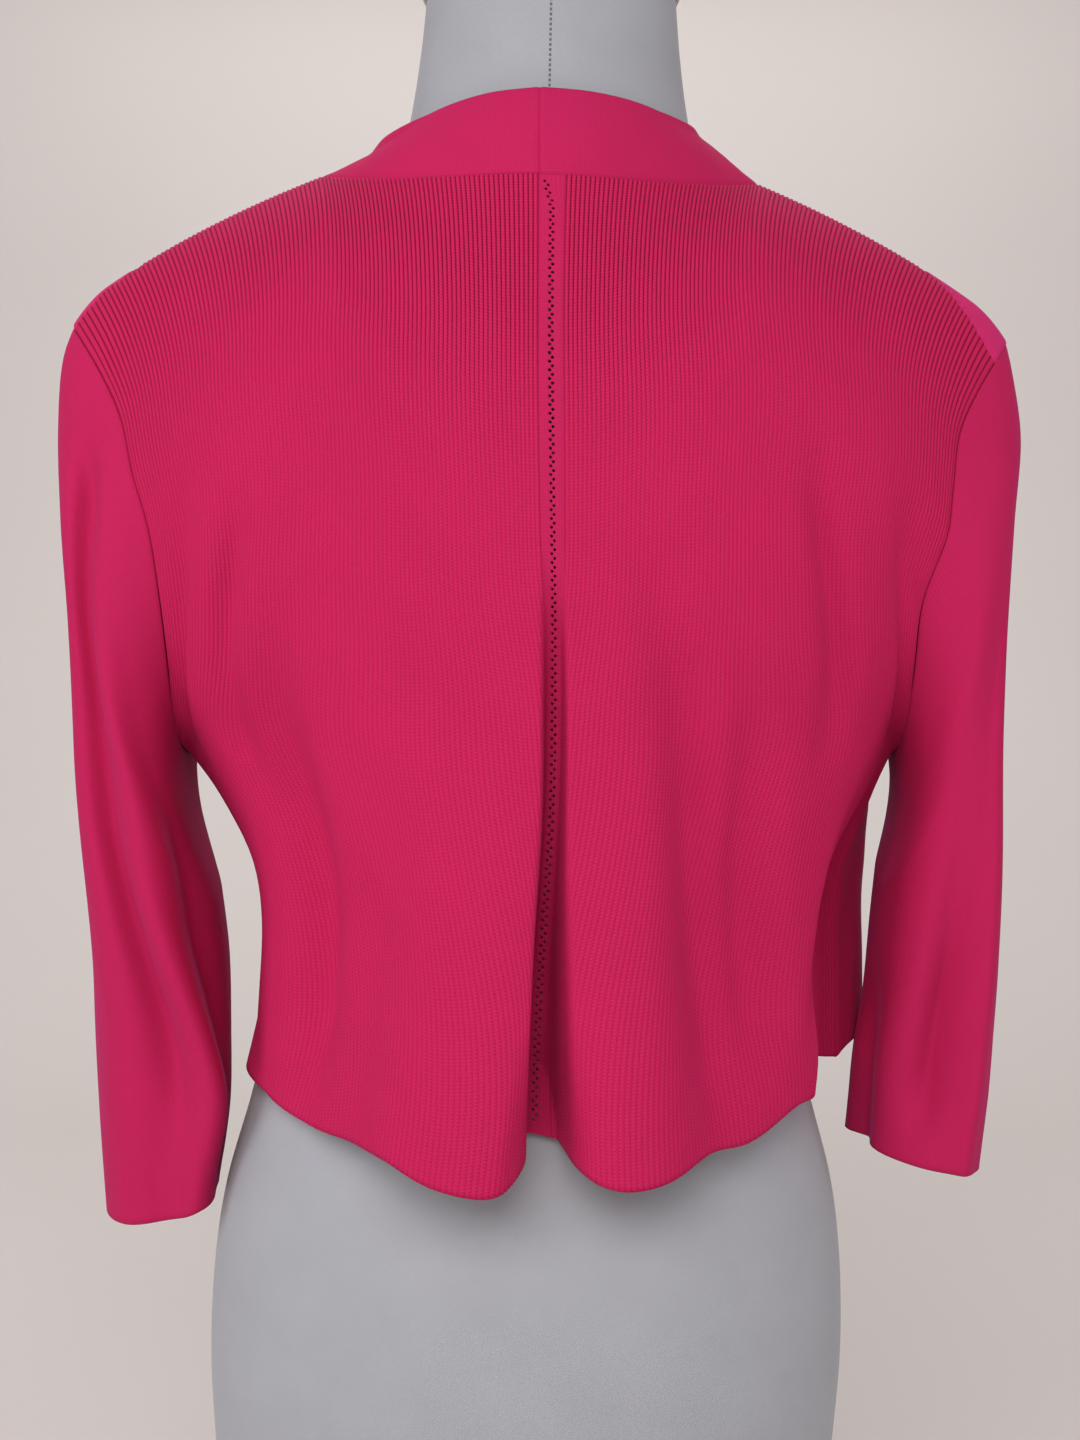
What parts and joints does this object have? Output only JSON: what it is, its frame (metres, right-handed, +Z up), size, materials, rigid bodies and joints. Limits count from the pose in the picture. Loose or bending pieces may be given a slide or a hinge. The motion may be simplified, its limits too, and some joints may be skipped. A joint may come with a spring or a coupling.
{
  "type": "cardigan on a limbless dress form",
  "caption": "Cropped open-front rib-knit cardigan with three-quarter sleeves and a plain neckband, resting on a plain limbless dress form that stands on its flat foot.",
  "frame": {"origin": "on the surface the form stands on, at the centre of its foot plate", "axes": "+Z up, +X to the wearer's right, +Y to the wearer's front, so the back of the garment faces -Y"},
  "size_m": [0.465, 0.2699, 0.8403],
  "materials": {
    "rib_knit": "hot pink fine rib knit, matt, soft",
    "fine_knit": "hot pink fine plain knit, matt, soft",
    "form_cloth": "grey twill stretched over the form",
    "form_plate": "dark grey matt foot plate"
  },
  "bodies": {
    "root": {"back": "rib_knit", "front_left": "fine_knit", "front_right": "fine_knit", "sleeve_left": "fine_knit", "sleeve_right": "fine_knit", "band_left": "fine_knit", "band_right": "fine_knit", "form_torso": "form_cloth", "form_cap": "form_cloth", "form_foot": "form_plate"}
  },
  "joints": []
}
